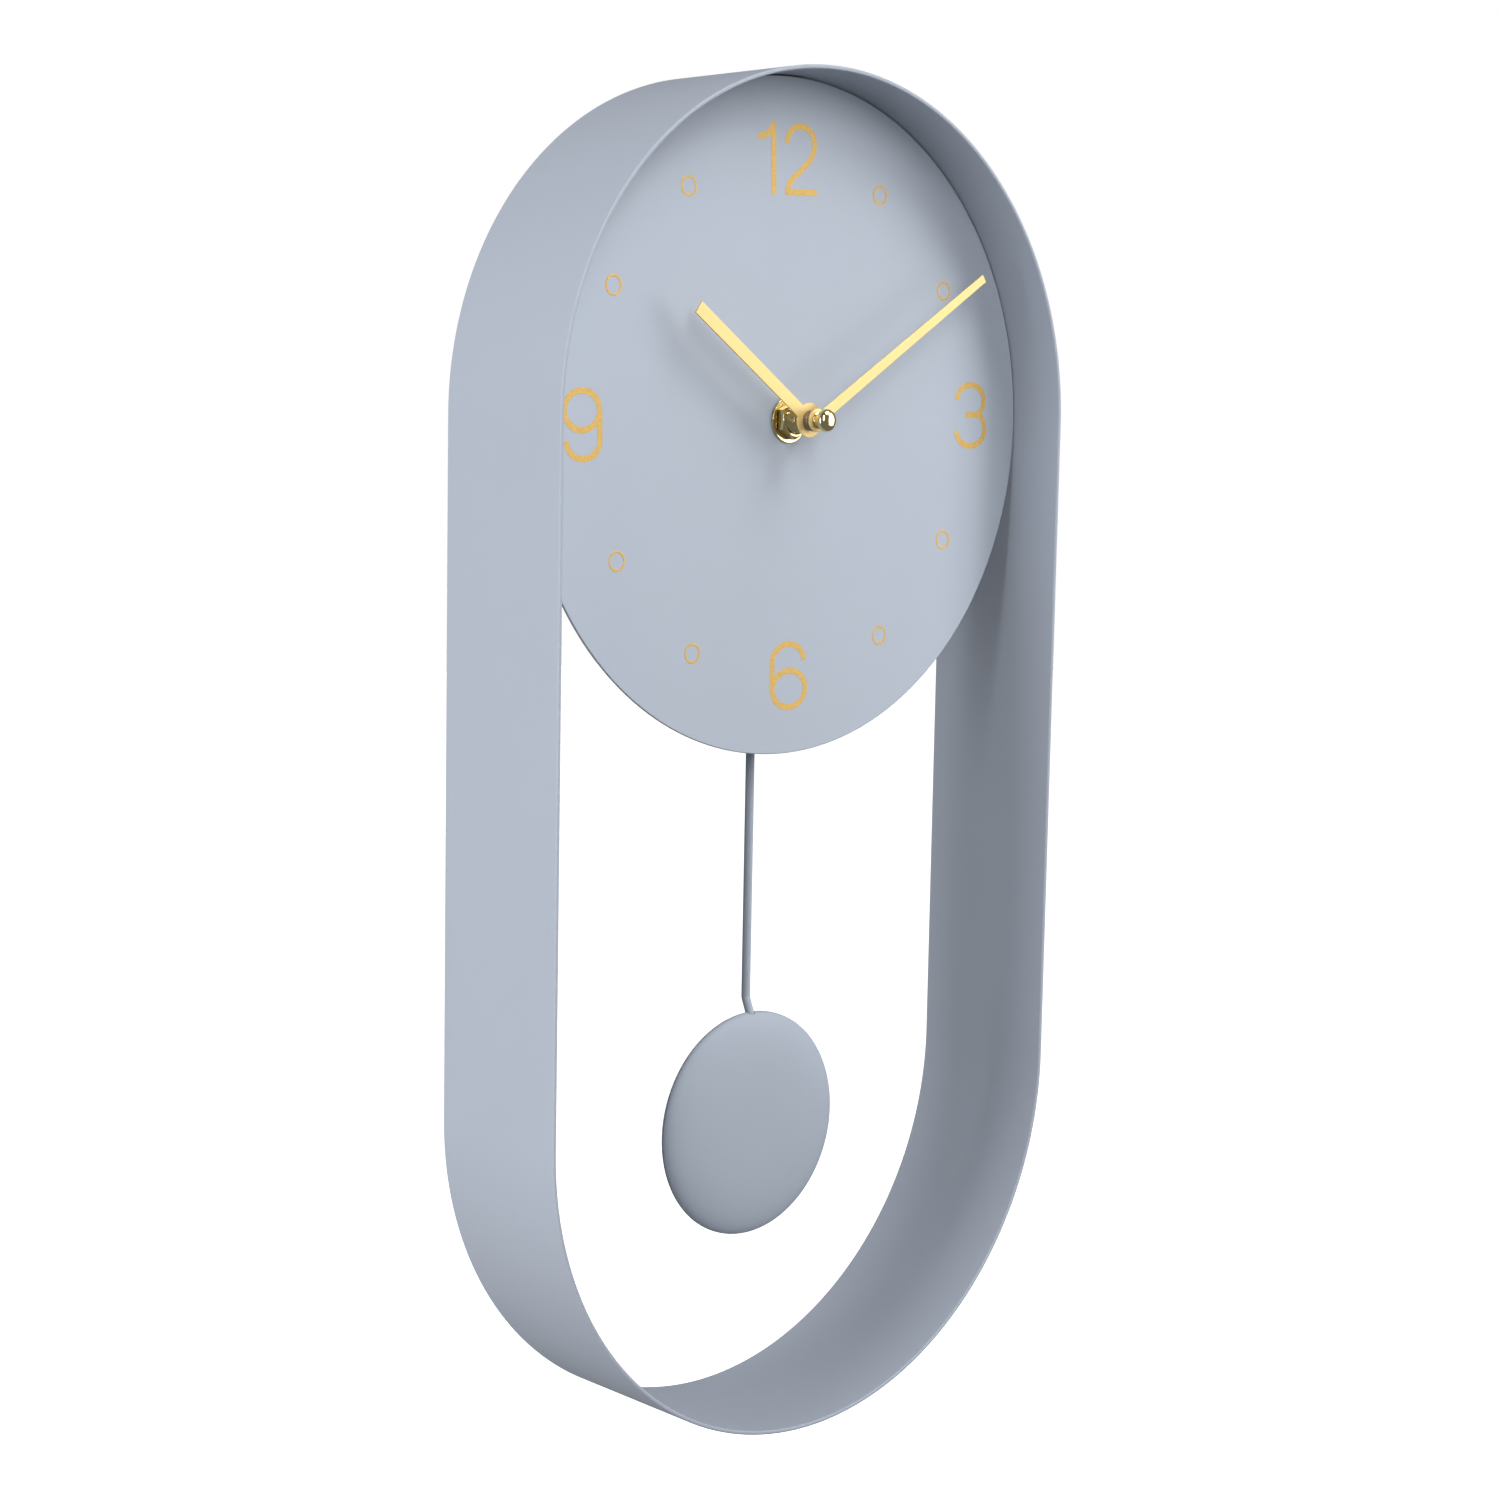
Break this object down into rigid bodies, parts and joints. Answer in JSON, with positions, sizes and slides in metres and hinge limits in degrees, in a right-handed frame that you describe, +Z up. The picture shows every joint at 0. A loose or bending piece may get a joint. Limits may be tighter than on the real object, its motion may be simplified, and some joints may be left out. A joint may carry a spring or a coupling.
{
  "type": "pendulum wall clock",
  "caption": "Wall clock with a long oval open band of painted steel, a round recessed dial, two straight hands and a swinging disc pendulum below.",
  "frame": {"origin": "where the wall screw holds the top of the hanger's keyhole, on the wall plane", "axes": "+X to the viewer's right, +Y into the wall, +Z up; the dial faces -Y"},
  "size_m": [0.2, 0.05, 0.4],
  "materials": {
    "case_paint": "satin blue-grey paint on steel sheet",
    "dial_paint": "matt blue-grey paint on steel sheet, numerals printed in gold ink",
    "pendulum_paint": "satin blue-grey paint",
    "hand_gold": "pale gold anodised, fine brushed",
    "brass": "polished",
    "steel": "turned, plain",
    "zinc": "zinc plated",
    "black_plastic": "moulded, fine texture",
    "white_plastic": "moulded, natural",
    "rubber": "matt",
    "copper": "enamelled copper wire",
    "board": "green solder mask",
    "epoxy": "black epoxy drop",
    "magnet": "sintered, nickel grey",
    "battery_wrap": "printed film on a steel cell"
  },
  "bodies": {
    "case": {"case_band": "case_paint", "dial_plate": "dial_paint", "dial_bracket_top": "case_paint", "dial_bracket_left": "case_paint", "dial_bracket_right": "case_paint", "hanger_bar": "case_paint", "dial_bushing": "brass", "dial_nut": "brass", "dial_washer": "brass", "movement_gasket": "rubber", "stator": "steel", "coil_core": "steel", "coil_bobbin": "white_plastic", "motor_coil": "copper", "train_plate": "brass", "rear_plate": "white_plastic", "movement_case": "black_plastic", "movement_cover": "black_plastic", "circuit_board": "board", "clock_chip": "epoxy", "quartz_crystal": "zinc", "battery_cell": "battery_wrap", "contact_plus": "zinc", "contact_minus": "zinc", "drive_bobbin": "white_plastic", "drive_coil": "copper", "rocker_pin": "steel", "train_screw_1": "zinc", "train_screw_2": "zinc", "train_screw_3": "zinc", "cover_screw_1": "zinc", "cover_screw_2": "zinc", "cover_screw_3": "zinc", "cover_screw_4": "zinc"},
    "minute": {"minute_arbor": "steel", "clutch_spring": "brass", "minute_collar": "steel", "minute_hand": "hand_gold", "cap_nut": "brass"},
    "hour": {"hour_wheel": "white_plastic", "hour_hand": "hand_gold"},
    "motion": {"motion_wheel": "white_plastic"},
    "setting": {"set_knob": "white_plastic"},
    "rotor": {"rotor_pinion": "white_plastic", "rotor_magnet": "magnet"},
    "intermediate": {"intermediate_wheel": "white_plastic"},
    "seconds": {"seconds_wheel": "white_plastic"},
    "third": {"third_wheel": "white_plastic"},
    "centre": {"centre_wheel": "white_plastic"},
    "pendulum": {"pendulum_rocker": "white_plastic", "rocker_magnet": "magnet", "pendulum_rod": "pendulum_paint", "bob_front": "pendulum_paint", "bob_back": "pendulum_paint", "bob_sleeve": "zinc"}
  },
  "joints": [
    {"name": "minute_turn", "type": "hinge", "parent": "case", "child": "minute", "pos_m": [0, -0.04, -0.06], "axis": [0, 1, 0], "continuous": true},
    {"name": "hour_turn", "type": "hinge", "parent": "case", "child": "hour", "pos_m": [0, -0.036, -0.06], "axis": [0, 1, 0], "continuous": true},
    {"name": "motion_turn", "type": "hinge", "parent": "case", "child": "motion", "pos_m": [0.01, -0.024, -0.06], "axis": [0, 1, 0], "continuous": true},
    {"name": "set_turn", "type": "hinge", "parent": "case", "child": "setting", "pos_m": [0.02, -0.014, -0.06], "axis": [0, 1, 0], "continuous": true},
    {"name": "rotor_turn", "type": "hinge", "parent": "case", "child": "rotor", "pos_m": [-0.01434, -0.014, -0.06], "axis": [0, 1, 0], "continuous": true},
    {"name": "intermediate_turn", "type": "hinge", "parent": "case", "child": "intermediate", "pos_m": [-0.0072, -0.015, -0.06], "axis": [0, 1, 0], "continuous": true},
    {"name": "seconds_turn", "type": "hinge", "parent": "case", "child": "seconds", "pos_m": [0, -0.016, -0.06], "axis": [0, 1, 0], "continuous": true},
    {"name": "third_turn", "type": "hinge", "parent": "case", "child": "third", "pos_m": [0, -0.018, -0.05082], "axis": [0, 1, 0], "continuous": true},
    {"name": "centre_turn", "type": "hinge", "parent": "case", "child": "centre", "pos_m": [0, -0.021, -0.06], "axis": [0, 1, 0], "continuous": true},
    {"name": "pendulum_swing", "type": "hinge", "parent": "case", "child": "pendulum", "pos_m": [0, -0.018, -0.094], "axis": [0, 1, 0], "range_deg": [-8, 8]}
  ],
  "couplings": [
    {"joint": "hour_turn", "follows": "minute_turn", "ratio": 0.083333},
    {"joint": "motion_turn", "follows": "minute_turn", "ratio": -0.33333},
    {"joint": "set_turn", "follows": "minute_turn", "ratio": 1},
    {"joint": "intermediate_turn", "follows": "rotor_turn", "ratio": -0.16667},
    {"joint": "seconds_turn", "follows": "rotor_turn", "ratio": 0.033333},
    {"joint": "third_turn", "follows": "rotor_turn", "ratio": -0.0044444},
    {"joint": "centre_turn", "follows": "rotor_turn", "ratio": 0.00055556}
  ]
}
